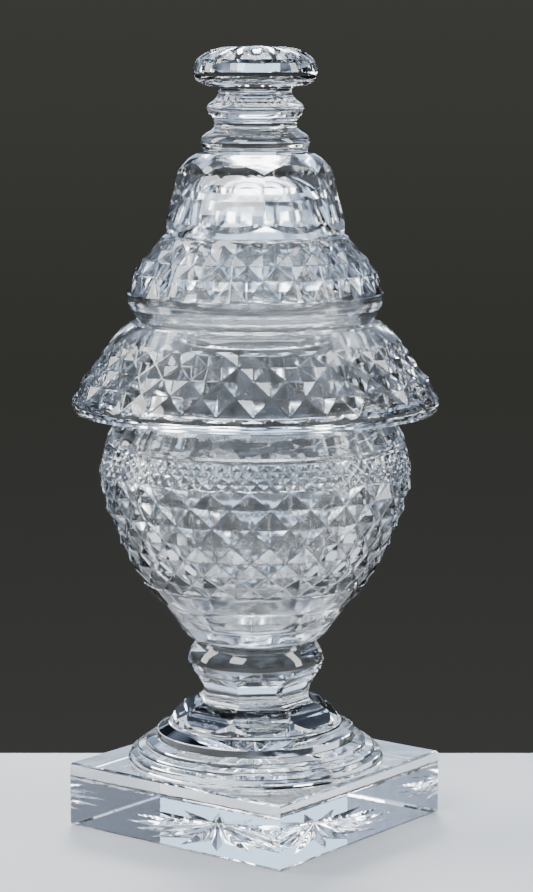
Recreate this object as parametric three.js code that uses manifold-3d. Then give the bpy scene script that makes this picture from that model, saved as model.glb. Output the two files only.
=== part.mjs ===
// A covered pedestal jar in cut glass: a square plinth, a stepped foot, an eight-sided stem, a bowl
// with a turned-over rim, and a lift-off cover with a mushroom finial.
// Millimetres, +Z up. The origin is the middle of the underside, and the plinth's sides follow X and Y.
import * as THREE from "three";
import { mergeVertices } from "three/addons/utils/BufferGeometryUtils.js";
import Module from "manifold-3d";

// ---------------------------------------------------------------- driving dimensions

const JOINT_GAP = 0.3; // between one worked section of glass and the next
const TURN = -52.1; // degrees from +X to the line that the cutter's patterns are set out from

const plinth = {
  side: 96,
  height: 23.3,
  bevel: 0.8,
};

const star = {
  rays: 16, // cut across the underside
  margin: 8, // from the ends of the rays to the plinth's sides
  halfWidth: 3.2,
  depth: 2.4,
};

// Steps of the foot, from the plinth up: how far each stands in from the plinth's side, and the
// bottom and top of its riser above the plinth.
const footSteps = [
  { inset: 1.4, low: 0, high: 0.9 },
  { inset: 2.4, low: 1.2, high: 3.1 },
  { inset: 4.8, low: 3.7, high: 5.1 },
  { inset: 8.1, low: 5.6, high: 7.3 },
  { inset: 12.0, low: 8.3, high: 11.3 },
];
const foot = {
  height: 13.6,
  topInset: 16.6,
  round: 0.5, // on the edge of every step
};

const stem = {
  height: 30.0,
  discMargin: 1.1, // of the foot's top round the disc
  discEdge: 2.2, // height of the disc's upright edge
  discRise: 6.6, // from the edge up to the waist
  waistRadius: 19.7,
  waistHeight: 9.8,
  collarRadius: 24.6,
  collarHeight: 22.4,
  panels: 8,
  panelTop: 22.4,
  panelArch: 3.0,
  panelTurn: TURN - 17.5,
};

const bowl = {
  footRadius: 21.6,
  radius: 56.7,
  neckRadius: 49.5,
  swellHeight: 60.2, // from the stem up to the widest place
  shoulderHeight: 22.3, // from there up to the rim
  wall: 6.5,
  columns: 24, // of large diamonds, and of the flats under the rim
  turn: TURN - 2,
};
// The swell of the bowl: shares of its growth in radius, and of its height, from the stem up.
const bowlOutline = [[0, 0], [0.21, 0.106], [0.48, 0.302], [0.75, 0.56], [0.918, 0.797], [1, 1]];

// Heights on the bowl as shares of the swell below its widest place (0 at the stem, 1 at the widest).
const basal = {
  flutes: 12,
  bottom: 0.045,
  top: 0.295,
  run: 0.06, // over which a flute runs out at its ends
};
const largeDiamonds = {
  rows: [0.366, 0.434, 0.505, 0.595, 0.694, 0.808, 0.927, 1.033],
  pitchRatio: 0.3, // depth of a groove's crossing to half a diamond's width
};

// Heights on the bowl as shares of the shoulder above the widest place.
const fineDiamonds = {
  columns: 72,
  bottom: 0.11,
  top: 0.48,
  rows: 4,
  depth: 0.9,
};
const neckGroove = {
  bottom: 0.5,
  top: 0.6,
  depth: 0.9,
};
const neckFlats = {
  bottom: 0.67,
  run: 0.09,
};

const rim = {
  radius: 65.8,
  drop: 28.0, // from the seat down to the upright edge
  height: 32.4, // from the bowl up to the seat
  edge: 1.6, // height of the upright edge
  lip: 2.6, // width of the rounded lip below it
  swell: 3.6, // how far the outside stands proud of a straight cone
  cove: 2.0, // depth of the shallow hollow under the overhang
  mouthRadius: 39,
  seatWidth: 5.2,
  columns: 32,
  rows: [0.045, 0.27, 0.47, 0.63, 0.76], // of diamonds, as shares of the drop
  pitchRatio: 0.3,
  turn: TURN - 0.7,
};

const cover = {
  seatWidth: 2.7, // how much of the rim's seat it rests on
  bulgeOverhang: 6.8, // beyond the rim's mouth
  bandHeight: 9.8,
  bulgeHeight: 20.3,
  ledgeRadius: 31.8,
  ledgeHeight: 1.1,
  plainHeight: 4.6,
  taperHeight: 16.2,
  shoulderRadius: 28.1,
  crownHeight: 7.8,
  topRadius: 20.8,
  wall: 7.0,
  crown: 9.1, // glass above the hollow
  vaultRise: 11, // of the hollow's rounded ceiling
  flangeDepth: 10,
  flangeWall: 3.6,
  flangeClearance: 1.0,
  columns: 24,
  rows: [0.03, 0.38, 0.63, 0.83, 0.99], // of diamonds, as shares of the bulge
  pitchRatio: 0.3,
  turn: TURN - 4,
  panels: 8,
  panelRun: 3.2,
  panelTurn: TURN + 6.5,
};

const neck = {
  height: 23.1,
  lowerCollar: { radius: 19.5, height: 3.9 },
  throat: { radius: 14.7, height: 9.7 },
  upperCollar: { radius: 17.4, height: 15.5 },
  topRadius: 13.1,
  footRadius: 18.3,
};

const knob = {
  radius: 22.1,
  height: 13.9,
  widest: 5.0, // height of the widest place
  faceRadius: 17.6, // of the flat underside
  petals: 16,
  petalDepth: 0.7,
  petalTurn: TURN - 10.5,
};

const STEPS = 48; // round a plain turned surface

// ---------------------------------------------------------------- heights, from the plinth up

const footBase = plinth.height + JOINT_GAP;
const footTop = footBase + foot.height;
const stemBase = footTop + JOINT_GAP;
const stemTop = stemBase + stem.height;
const bowlBase = stemTop + JOINT_GAP;
const bowlWidest = bowlBase + bowl.swellHeight;
const bowlTop = bowlWidest + bowl.shoulderHeight;
const rimBase = bowlTop + JOINT_GAP;
const rimSeat = rimBase + rim.height;
const coverBase = rimSeat + JOINT_GAP;
const bulgeBase = coverBase + cover.bandHeight;
const ledgeBase = bulgeBase + cover.bulgeHeight;
const domeBase = ledgeBase + cover.ledgeHeight;
const taperBase = domeBase + cover.plainHeight;
const crownBase = taperBase + cover.taperHeight;
const coverTop = crownBase + cover.crownHeight;
const neckBase = coverTop + JOINT_GAP;
const knobBase = neckBase + neck.height + JOINT_GAP;

// ---------------------------------------------------------------- radii of what seats on what

const footRadius = (inset) => plinth.side / 2 - inset;
const footTopRadius = footRadius(foot.topInset);
const starReach = plinth.side / 2 - star.margin;
const discRadius = footTopRadius - stem.discMargin;
const bulgeRadius = rim.mouthRadius + cover.bulgeOverhang;

// ---------------------------------------------------------------- curves

const lerp = THREE.MathUtils.lerp;
const clamp = THREE.MathUtils.clamp;
const QUARTER = Math.PI / 2;

// Even shares from 0 to 1.
const shares = (steps) => Array.from({ length: steps + 1 }, (_, i) => i / steps);

// A swelling curve leaves `from` at a slant and reaches `to` upright; a shoulder does the reverse.
const swelling = (from, to, share) => lerp(from, to, Math.sin(QUARTER * share));
const shoulder = (from, to, share) => lerp(to, from, Math.cos(QUARTER * share));

// A smooth radius through [radius, height] places, as a function of the height.
function radiusThrough(places) {
  const heights = places.map(([, height]) => height);
  const radii = places.map(([radius]) => radius);
  const curve = new THREE.CubicInterpolant(heights, radii, 1, [0]);
  return (height) => curve.evaluate(height)[0];
}

// ---------------------------------------------------------------- solids made of rings

// A ring of points round the axis. `turn` is in degrees; radius is a number or a function of the
// point's angle from `turn` and of its index.
function ring(height, radius, { count = STEPS, turn = TURN } = {}) {
  const angleOf = (i) => THREE.MathUtils.degToRad(turn + (360 * i) / count);
  const radiusOf = typeof radius === "function" ? radius : () => radius;
  const points = Array.from({ length: count }, (_, i) => {
    const r = radiusOf(angleOf(i) - angleOf(0), i);
    return new THREE.Vector3(r * Math.cos(angleOf(i)), r * Math.sin(angleOf(i)), height);
  });
  return { points, start: angleOf(0) };
}

const pole = (height) => ({ points: [new THREE.Vector3(0, 0, height)], start: 0 });

const fromAxis = (point) => Math.hypot(point.x, point.y);

// Two triangles between the same step of two rings, folded along the diagonal nearer the axis,
// so that a V-shaped groove keeps its sharp bottom and each pyramid its flat faces.
function quad(a, b, c, d, points) {
  const middle = (p, q) => fromAxis(points[p].clone().add(points[q]));
  return middle(a, c) < middle(b, d) ? [a, b, c, a, c, d] : [a, b, d, b, c, d];
}

// The faces between two rings; the second ring is the next one along the outline.
function facesBetween(first, second, points) {
  const m = first.count;
  const n = second.count;
  const faces = [];
  if (m === n && m > 1) {
    const shift = Math.round(((second.start - first.start) * m) / (2 * Math.PI));
    const below = (i) => first.at + ((i + shift + m) % m);
    const above = (i) => second.at + (i % m);
    for (let i = 0; i < m; i++) {
      faces.push(...quad(below(i), below(i + 1), above(i + 1), above(i), points));
    }
    return faces;
  }
  // Rings of unlike counts are closed like a zip: the ring whose next point lies further back moves on.
  const offset = (second.start - first.start) / (2 * Math.PI);
  let i = 0;
  let j = 0;
  while (i < m || j < n) {
    const moveFirst = j === n || (i < m && (i + 0.5) / m < (j + 0.5) / n + offset);
    const here = first.at + (i % m);
    const there = second.at + (j % n);
    if (moveFirst) {
      if (m > 1) faces.push(here, first.at + ((i + 1) % m), there);
      i++;
    } else {
      if (n > 1) faces.push(here, second.at + ((j + 1) % n), there);
      j++;
    }
  }
  return faces;
}

// A closed solid from rings in order up its outside: it ends on poles, or closes on itself.
function solidOfRings(rings) {
  const points = rings.flatMap((one) => one.points);
  let at = 0;
  const spans = rings.map(({ points: own, start }) => {
    const span = { at, count: own.length, start };
    at += own.length;
    return span;
  });
  if (spans[0].count > 1) spans.push(spans[0]);
  const faces = spans.slice(1).flatMap((span, k) => facesBetween(spans[k], span, points));
  const geometry = new THREE.BufferGeometry().setFromPoints(points);
  geometry.setIndex(faces);
  geometry.computeVertexNormals();
  return geometry;
}

// Radius of flat panels cut round a surface: `depth` is 1 where neighbouring panels meet at a ridge,
// and falls to 0 where they run out. The ridges are at angle 0 from the ring's turn.
function flatPanels(radius, panels, depth) {
  const half = Math.PI / panels;
  const middle = radius * (1 - (1 - Math.cos(half)) * depth);
  return (angle) => {
    const fromRidge = angle % (2 * half);
    return Math.min(radius, middle / Math.cos(fromRidge - half));
  };
}

// How deep a panel is at a height, between two ends over which it runs out.
const panelDepth = (height, bottom, top, run) =>
  clamp(Math.min((height - bottom) / run, (top - height) / run), 0, 1);

// A row of diamonds: the points and the crossings of the grooves take turns.
function diamondRow(height, radius, row, { columns, turn }, depth) {
  const isCrossing = (i) => (i + row) % 2 === 0;
  const cut = (angle, i) => (isCrossing(i) ? radius - depth : radius);
  return ring(height, cut, { count: 2 * columns, turn });
}

// Grooves are half as deep at the first and the last row of a band, where they run out.
const crossingDepth = (radius, columns, ratio, row, rows) => {
  const halfWidth = (Math.PI * radius) / columns;
  return ratio * halfWidth * (row === 0 || row === rows - 1 ? 0.5 : 1);
};

// ---------------------------------------------------------------- the foot end

function squarePlinth(wasm) {
  const half = plinth.side / 2;
  const inner = half - plinth.bevel;
  const origin = new THREE.Vector2();
  const corners = [0, 1, 2, 3].flatMap((side) =>
    [-1, 1].map((end) =>
      new THREE.Vector2(inner, end * (inner - plinth.bevel)).rotateAround(origin, side * QUARTER),
    ),
  );
  const block = new THREE.ExtrudeGeometry(new THREE.Shape(corners), {
    depth: plinth.height - 2 * plinth.bevel,
    bevelThickness: plinth.bevel,
    bevelSize: plinth.bevel,
    bevelSegments: 1,
  });
  block.translate(0, 0, plinth.bevel);
  let solid = manifoldOf(wasm, block);
  const crossCuts = star.rays / 2;
  for (let cut = 0; cut < crossCuts; cut++) {
    const ray = new THREE.OctahedronGeometry(1);
    ray.scale(starReach, star.halfWidth, star.depth);
    ray.rotateZ((Math.PI * (cut + 0.5)) / crossCuts);
    solid = solid.subtract(manifoldOf(wasm, ray));
  }
  return geometryOf(solid);
}

function manifoldOf(wasm, geometry) {
  const bare = new THREE.BufferGeometry();
  bare.setAttribute("position", geometry.getAttribute("position"));
  bare.setIndex(geometry.getIndex());
  const merged = mergeVertices(bare, 1e-4);
  return new wasm.Manifold(
    new wasm.Mesh({
      numProp: 3,
      vertProperties: merged.getAttribute("position").array,
      triVerts: new Uint32Array(merged.getIndex().array),
    }),
  );
}

function geometryOf(solid) {
  const mesh = solid.getMesh();
  const geometry = new THREE.BufferGeometry();
  geometry.setAttribute("position", new THREE.BufferAttribute(mesh.vertProperties, 3));
  geometry.setIndex(new THREE.BufferAttribute(mesh.triVerts, 1));
  return geometry;
}

function steppedFoot() {
  const places = [];
  for (const { inset, low, high } of footSteps) {
    const radius = footRadius(inset);
    places.push([radius, low], [radius, high - foot.round], [radius - foot.round, high]);
  }
  places.push([footTopRadius, foot.height]);
  return solidOfRings([
    pole(footBase),
    ...places.map(([radius, height]) => ring(footBase + height, radius, { count: 40 })),
    pole(footTop),
  ]);
}

function stemKnop() {
  const edgeTop = stem.discEdge;
  const discShoulder = edgeTop + 0.35 * stem.discRise;
  const radiusAt = radiusThrough([
    [discRadius, edgeTop],
    [lerp(stem.waistRadius, discRadius, 0.88), discShoulder],
    [lerp(stem.waistRadius, discRadius, 0.3), edgeTop + 0.85 * stem.discRise],
    [stem.waistRadius, stem.waistHeight],
    [lerp(stem.waistRadius, stem.collarRadius, 0.35), lerp(stem.waistHeight, stem.collarHeight, 0.4)],
    [stem.collarRadius, stem.collarHeight],
    [lerp(stem.collarRadius, bowl.footRadius, 0.45), lerp(stem.collarHeight, stem.height, 0.6)],
    [bowl.footRadius, stem.height],
  ]);
  const panelBottom = edgeTop - 0.6;
  const archBottom = stem.panelTop - stem.panelArch;
  const heights = [
    ...shares(5).map((share) => lerp(edgeTop, stem.waistHeight, share)),
    ...shares(3).slice(1).map((share) => lerp(stem.waistHeight, archBottom, share)),
    ...shares(3).slice(1).map((share) => lerp(archBottom, stem.panelTop, share)),
    ...shares(4).slice(1).map((share) => lerp(stem.panelTop, stem.height, share)),
  ];
  const options = { turn: stem.panelTurn };
  const cutRing = (height) => {
    const depth = panelDepth(height, panelBottom, stem.panelTop, stem.panelArch);
    return ring(stemBase + height, flatPanels(radiusAt(height), stem.panels, depth), options);
  };
  const edgeRound = 0.25 * stem.discEdge;
  return solidOfRings([
    pole(stemBase),
    ring(stemBase, discRadius - edgeRound, options),
    ring(stemBase + edgeRound, discRadius, options),
    ...heights.map(cutRing),
    pole(stemTop),
  ]);
}

// ---------------------------------------------------------------- the bowl and its rim

const bowlGrowth = radiusThrough(bowlOutline);
const bowlSwell = (share) => lerp(bowl.footRadius, bowl.radius, bowlGrowth(Math.min(share, 1)));
const bowlShoulder = (share) => shoulder(bowl.radius, bowl.neckRadius, share);
const swellHeight = (share) => bowlBase + bowl.swellHeight * share;
const shoulderHeight = (share) => bowlWidest + bowl.shoulderHeight * share;

function basalFlutes() {
  const between = (from, to, steps) => shares(steps).map((share) => lerp(from, to, share));
  const levels = [
    0,
    ...between(basal.bottom, basal.bottom + basal.run, 2),
    ...between(basal.bottom + basal.run, basal.top - basal.run, 3).slice(1, -1),
    ...between(basal.top - basal.run, basal.top, 2),
  ];
  return levels.map((level) => {
    const depth = panelDepth(level, basal.bottom, basal.top, basal.run);
    const cut = flatPanels(bowlSwell(level), basal.flutes, depth);
    return ring(swellHeight(level), cut, { turn: bowl.turn });
  });
}

function bowlDiamonds() {
  const { rows, pitchRatio } = largeDiamonds;
  return rows.map((level, row) => {
    const radius = bowlSwell(level);
    const depth = crossingDepth(radius, bowl.columns, pitchRatio, row, rows.length);
    return diamondRow(swellHeight(level), radius, row + 1, bowl, depth);
  });
}

function fineBand() {
  const pattern = { columns: fineDiamonds.columns, turn: bowl.turn };
  return shares(fineDiamonds.rows).map((share, row) => {
    const level = lerp(fineDiamonds.bottom, fineDiamonds.top, share);
    const depth = fineDiamonds.depth;
    return diamondRow(shoulderHeight(level), bowlShoulder(level), row, pattern, depth);
  });
}

function bowlNeck() {
  const plain = (level, depth = 0) =>
    ring(shoulderHeight(level), bowlShoulder(level) - depth, { turn: bowl.turn });
  const grooveMiddle = (neckGroove.bottom + neckGroove.top) / 2;
  const flats = [neckFlats.bottom, neckFlats.bottom + neckFlats.run, 1].map((level) => {
    const depth = clamp((level - neckFlats.bottom) / neckFlats.run, 0, 1);
    const cut = flatPanels(bowlShoulder(level), bowl.columns, depth);
    return ring(shoulderHeight(level), cut, { turn: bowl.turn });
  });
  return [
    plain(neckGroove.bottom),
    plain(grooveMiddle, neckGroove.depth),
    plain(neckGroove.top),
    ...flats,
  ];
}

// The hollow follows the outside at the wall's thickness, from the top down to the axis.
function bowlHollow() {
  const bottom = bowlBase + 0.17 * bowl.swellHeight;
  const upper = shares(3).map((share) => {
    const level = 1 - share;
    return ring(shoulderHeight(level), bowlShoulder(level) - bowl.wall, { turn: bowl.turn });
  });
  const inner = bowl.radius - bowl.wall;
  const lower = shares(7).slice(1, -1).map((share) => {
    const height = lerp(bowlWidest, bottom, Math.sin(QUARTER * share));
    return ring(height, inner * Math.cos(QUARTER * share) ** 0.8, { turn: bowl.turn });
  });
  return [...upper, ...lower, pole(bottom)];
}

function bowlSolid() {
  return solidOfRings([
    pole(bowlBase),
    ...basalFlutes(),
    ...bowlDiamonds(),
    ...fineBand(),
    ...bowlNeck(),
    ...bowlHollow(),
  ]);
}

function turnoverRim() {
  const options = { count: 2 * rim.columns, turn: rim.turn };
  const seatRadius = rim.mouthRadius + rim.seatWidth;
  const edgeTop = rimSeat - rim.drop;
  const outside = (share) =>
    lerp(rim.radius, seatRadius, share) + rim.swell * Math.sin(Math.PI * share) ** 0.7;
  const heightAt = (share) => lerp(edgeTop, rimSeat, share);

  const diamonds = rim.rows.map((share, row) => {
    const radius = outside(share);
    const depth = crossingDepth(radius, rim.columns, rim.pitchRatio, row, rim.rows.length);
    return diamondRow(heightAt(share), radius, row, rim, depth);
  });
  const plainTop = [0.86, 0.95, 1];
  const top = plainTop.map((share) => ring(heightAt(share), outside(share), options));

  const lipRadius = rim.radius - 0.35 * rim.lip;
  const lipInner = rim.radius - rim.lip;
  const lipBottom = edgeTop - rim.edge - 0.8 * rim.lip;
  const coveRadius = (bowl.neckRadius + lipInner) / 2;
  const under = [
    [bowl.neckRadius, rimBase],
    [coveRadius, Math.max(rimBase, lipBottom) + rim.cove],
    [lipInner, lipBottom],
    [lipRadius, lipBottom + 0.2 * rim.lip],
    [rim.radius, edgeTop - rim.edge],
  ];
  const inside = [
    [rim.mouthRadius, rimSeat],
    [rim.mouthRadius, rimSeat - cover.flangeDepth - 2],
    [bowl.neckRadius - bowl.wall, rimBase],
  ];
  const plain = { count: rim.columns, turn: rim.turn };
  const rings = (places) => places.map(([radius, height]) => ring(height, radius, plain));
  return solidOfRings([...rings(under), ...diamonds, ...top, ...rings(inside)]);
}

// ---------------------------------------------------------------- the cover

function coverDome() {
  const options = { turn: cover.panelTurn };
  const flangeRadius = rim.mouthRadius - cover.flangeClearance;
  const flangeInner = flangeRadius - cover.flangeWall;
  const flangeBottom = coverBase - cover.flangeDepth;
  const seatRadius = rim.mouthRadius + cover.seatWidth;

  const band = shares(4).slice(0, -1).map((share) => {
    const height = coverBase + share * cover.bandHeight;
    return ring(height, swelling(seatRadius, bulgeRadius, share), options);
  });

  const bulgeRim = cover.ledgeRadius + 1.6;
  const bulgeAt = (share) => shoulder(bulgeRadius, bulgeRim, share);
  const diamonds = cover.rows.map((share, row) => {
    const radius = bulgeAt(share);
    const depth = crossingDepth(radius, cover.columns, cover.pitchRatio, row, cover.rows.length);
    return diamondRow(bulgeBase + share * cover.bulgeHeight, radius, row, cover, depth);
  });

  const domeRadius = radiusThrough([
    [cover.ledgeRadius, domeBase],
    [cover.ledgeRadius, taperBase],
    [cover.shoulderRadius, crownBase],
    [lerp(cover.topRadius, cover.shoulderRadius, 0.71), crownBase + 0.46 * cover.crownHeight],
    [lerp(cover.topRadius, cover.shoulderRadius, 0.29), crownBase + 0.86 * cover.crownHeight],
    [cover.topRadius, coverTop],
  ]);
  const panelBottom = domeBase + 0.3 * cover.plainHeight;
  const panelTop = crownBase + 0.6 * cover.crownHeight;
  const domeHeights = [
    domeBase,
    ...shares(3).map((share) => panelBottom + share * cover.panelRun),
    lerp(taperBase, crownBase, 0.5),
    ...shares(3).map((share) => panelTop - (1 - share) * cover.panelRun),
    lerp(panelTop, coverTop, 0.6),
    coverTop,
  ];
  const dome = domeHeights.map((height) => {
    const depth = panelDepth(height, panelBottom, panelTop, cover.panelRun);
    return ring(height, flatPanels(domeRadius(height), cover.panels, depth), options);
  });

  const ceiling = coverTop - cover.crown;
  const vaultRadius = cover.shoulderRadius - cover.wall;
  const vault = shares(5).slice(1).map((share) => {
    const lean = QUARTER * share;
    return [vaultRadius * Math.sin(lean), ceiling - cover.vaultRise * (1 - Math.cos(lean))];
  });
  const inside = [
    ...vault,
    [cover.ledgeRadius - cover.wall, domeBase + 2],
    [cover.ledgeRadius - cover.wall + 2.5, ledgeBase - 3.5],
    [bulgeAt(0.6) - cover.wall, bulgeBase + 0.42 * cover.bulgeHeight],
    [bulgeRadius - cover.wall, bulgeBase],
    [flangeInner, coverBase],
    [flangeInner, flangeBottom],
  ].map(([radius, height]) => ring(height, radius, options));

  return solidOfRings([
    pole(ceiling),
    ...inside,
    ring(flangeBottom, flangeRadius, options),
    ring(coverBase, flangeRadius, options),
    ...band,
    ...diamonds,
    ring(ledgeBase, bulgeRim - 0.4, options),
    ...dome,
    pole(coverTop),
  ]);
}

function finialNeck() {
  const { lowerCollar, throat, upperCollar } = neck;
  const radiusAt = radiusThrough([
    [neck.footRadius, 0],
    [lowerCollar.radius, lowerCollar.height],
    [throat.radius, throat.height],
    [upperCollar.radius, upperCollar.height],
    [neck.topRadius, neck.height - 2],
    [neck.topRadius, neck.height],
  ]);
  return solidOfRings([
    pole(neckBase),
    ...shares(12).map((share) => {
      const height = share * neck.height;
      return ring(neckBase + height, radiusAt(height), { count: 36 });
    }),
    pole(neckBase + neck.height),
  ]);
}

// A flattened ball with a flat underside; lens-shaped petals are cut from its top to its widest place.
function finialKnob() {
  const halfTop = knob.height - knob.widest;
  const count = 2 * knob.petals;
  const petal = (radius, depth) => (angle) => {
    const wave = Math.cos(0.5 * angle * knob.petals) ** 2;
    return radius - depth * wave;
  };
  const dome = shares(6).slice(0, -1).map((share) => {
    const around = QUARTER * share;
    const depth = knob.petalDepth * Math.sin(Math.PI * clamp(1.2 * share, 0, 1)) ** 2;
    const radius = knob.radius * Math.sqrt(Math.cos(around));
    return ring(knobBase + knob.widest + halfTop * Math.sin(around), petal(radius, depth), {
      count,
      turn: knob.petalTurn,
    });
  });
  const below = [
    [knob.faceRadius, 0],
    [lerp(knob.faceRadius, knob.radius, 0.72), 0.25 * knob.widest],
  ].map(([radius, height]) => ring(knobBase + height, radius, { count, turn: knob.petalTurn }));
  return solidOfRings([pole(knobBase), ...below, ...dome, pole(knobBase + knob.height)]);
}

// ---------------------------------------------------------------- the scene

const wasm = await Module();
wasm.setup();

const clearGlass = { color: 0xe9f0f4, roughness: 0.03, metalness: 0, transparent: true, opacity: 0.4 };

const sections = {
  square_plinth: squarePlinth(wasm),
  stepped_foot: steppedFoot(),
  stem_knop: stemKnop(),
  bowl: bowlSolid(),
  turnover_rim: turnoverRim(),
  cover_dome: coverDome(),
  finial_neck: finialNeck(),
  finial_knob: finialKnob(),
};

const jar = new THREE.Group();
for (const [name, geometry] of Object.entries(sections)) {
  const section = new THREE.Mesh(geometry, new THREE.MeshStandardMaterial(clearGlass));
  section.name = name;
  jar.add(section);
}

export default jar;
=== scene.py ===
"""A covered pedestal jar in cut crystal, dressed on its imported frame.

The jar is hot-joined from five worked sections of glass and its cover from three. Each section is a
piece of its own here. Where two sections are joined, their touching faces are left clear, so that
light runs through the joint as it does through one body of glass.
"""

import logging
import math
from collections.abc import Callable, Iterable
from dataclasses import dataclass, field
from enum import Enum

import bmesh
import bpy
from mathutils import Matrix, Vector


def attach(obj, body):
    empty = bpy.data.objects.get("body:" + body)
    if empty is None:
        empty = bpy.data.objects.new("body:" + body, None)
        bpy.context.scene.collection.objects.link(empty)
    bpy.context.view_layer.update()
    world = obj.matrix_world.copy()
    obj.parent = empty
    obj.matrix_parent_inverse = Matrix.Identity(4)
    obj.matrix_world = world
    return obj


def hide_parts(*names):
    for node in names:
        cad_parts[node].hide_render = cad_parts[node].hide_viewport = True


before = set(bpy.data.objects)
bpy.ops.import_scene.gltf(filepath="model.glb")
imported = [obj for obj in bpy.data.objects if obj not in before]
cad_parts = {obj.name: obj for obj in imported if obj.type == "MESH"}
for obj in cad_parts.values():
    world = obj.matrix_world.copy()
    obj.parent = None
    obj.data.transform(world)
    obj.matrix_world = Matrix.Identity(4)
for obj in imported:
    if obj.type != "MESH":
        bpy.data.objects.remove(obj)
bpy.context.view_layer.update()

LOG = logging.getLogger("jar")
MM = 0.001
FRONT = -52.1  # azimuth, in degrees, that the cutter's patterns are set out from
AROUND = 144  # points round a plain turned surface
SHARP = math.radians(9)  # edges that turn more than this stay crisp
END_DEPTH = 0.5  # of a full crossing's depth, in the first and the last row of diamonds
MERGE = 1e-6  # metres within which doubled points are one
CORNER = 0.3  # of a rounded corner's reach: how far in its middle point lies
INSIDE_POLISH = (0.10, 0.15)  # roughness of the hollows' walls


class Slot(Enum):
    """The record's material slots."""

    PLAIN = "plain_crystal"
    TURNED = "turned_crystal"
    CUT = "cut_crystal"


class Side(Enum):
    """What a face of a section is: its number is the face's material."""

    OUTSIDE = 0
    JOINT = 1
    INSIDE = 2


class Body(Enum):
    """The bodies that pieces ride on."""

    JAR = "jar"
    COVER = "cover"


# ---------------------------------------------------------------- finishes


class NodeTree:
    """A material's nodes, added and linked by name."""

    def __init__(self, material: bpy.types.Material) -> None:
        """Starts an empty tree on a material.

        Args:
            material: the material that gets the nodes.
        """
        material.use_nodes = True
        self.tree = material.node_tree
        self.tree.nodes.clear()

    def add(self, kind: str, **settings: object) -> bpy.types.Node:
        """Adds a node.

        Args:
            kind: the node's type name.
            **settings: properties of the node, and values of its inputs by name with _ for a space.

        Returns:
            The new node.
        """
        node = self.tree.nodes.new(kind)
        for name, value in settings.items():
            label = name.replace("_", " ")
            if label in node.inputs:
                node.inputs[label].default_value = value
            else:
                setattr(node, name, value)
        return node

    def link(self, output: bpy.types.NodeSocket, target: bpy.types.NodeSocket) -> None:
        """Links an output to an input."""
        self.tree.links.new(output, target)


@dataclass(frozen=True)
class CrystalFinish:
    """Clear lead crystal: how it is tinted, and how far its polish is from perfect."""

    name: str
    ior: float = 1.55
    tint: tuple[float, float, float, float] = (0.985, 0.992, 0.992, 1.0)
    polish: tuple[float, float] = (0.0, 0.025)
    ripple_scale: float = 90.0
    ripple_height: float = 0.00004
    wheel_scale: float = 900.0
    wheel_share: float = 0.15
    wear_range: tuple[float, float] = (0.45, 0.75)  # of the grain, from the best polish to the worst

    def material(self) -> bpy.types.Material:
        """Makes the material.

        Returns:
            A glass whose surface has the slow waves of fire polish and the fine grain of the wheel.
        """
        made = bpy.data.materials.new(self.name)
        nodes = NodeTree(made)
        place = nodes.add("ShaderNodeTexCoord")
        waves = nodes.add("ShaderNodeTexNoise", Scale=self.ripple_scale, Detail=2.0)
        grain = nodes.add("ShaderNodeTexNoise", Scale=self.wheel_scale, Detail=3.0)
        mixed = nodes.add("ShaderNodeMix", data_type="FLOAT", Factor=self.wheel_share)
        bump = nodes.add("ShaderNodeBump", Strength=1.0, Distance=self.ripple_height)
        wear = nodes.add("ShaderNodeMapRange", To_Min=self.polish[0], To_Max=self.polish[1])
        wear.inputs["From Min"].default_value = self.wear_range[0]
        wear.inputs["From Max"].default_value = self.wear_range[1]
        glass = nodes.add(
            "ShaderNodeBsdfPrincipled",
            Base_Color=self.tint,
            IOR=self.ior,
            Transmission_Weight=1.0,
            Metallic=0.0,
        )
        output = nodes.add("ShaderNodeOutputMaterial")
        nodes.link(place.outputs["Object"], waves.inputs["Vector"])
        nodes.link(place.outputs["Object"], grain.inputs["Vector"])
        nodes.link(waves.outputs["Fac"], mixed.inputs["A"])
        nodes.link(grain.outputs["Fac"], mixed.inputs["B"])
        nodes.link(mixed.outputs["Result"], bump.inputs["Height"])
        nodes.link(grain.outputs["Fac"], wear.inputs["Value"])
        nodes.link(wear.outputs["Result"], glass.inputs["Roughness"])
        nodes.link(bump.outputs["Normal"], glass.inputs["Normal"])
        nodes.link(glass.outputs["BSDF"], output.inputs["Surface"])
        return made


@dataclass(frozen=True)
class JointFinish:
    """The unseen face where two sections of glass are melted together."""

    name: str = "melted_joint"

    def material(self) -> bpy.types.Material:
        """Makes the material.

        Returns:
            A clear material that lets all light through unbent.
        """
        made = bpy.data.materials.new(self.name)
        nodes = NodeTree(made)
        clear = nodes.add("ShaderNodeBsdfTransparent", Color=(1.0, 1.0, 1.0, 1.0))
        output = nodes.add("ShaderNodeOutputMaterial")
        nodes.link(clear.outputs["BSDF"], output.inputs["Surface"])
        return made


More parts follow.
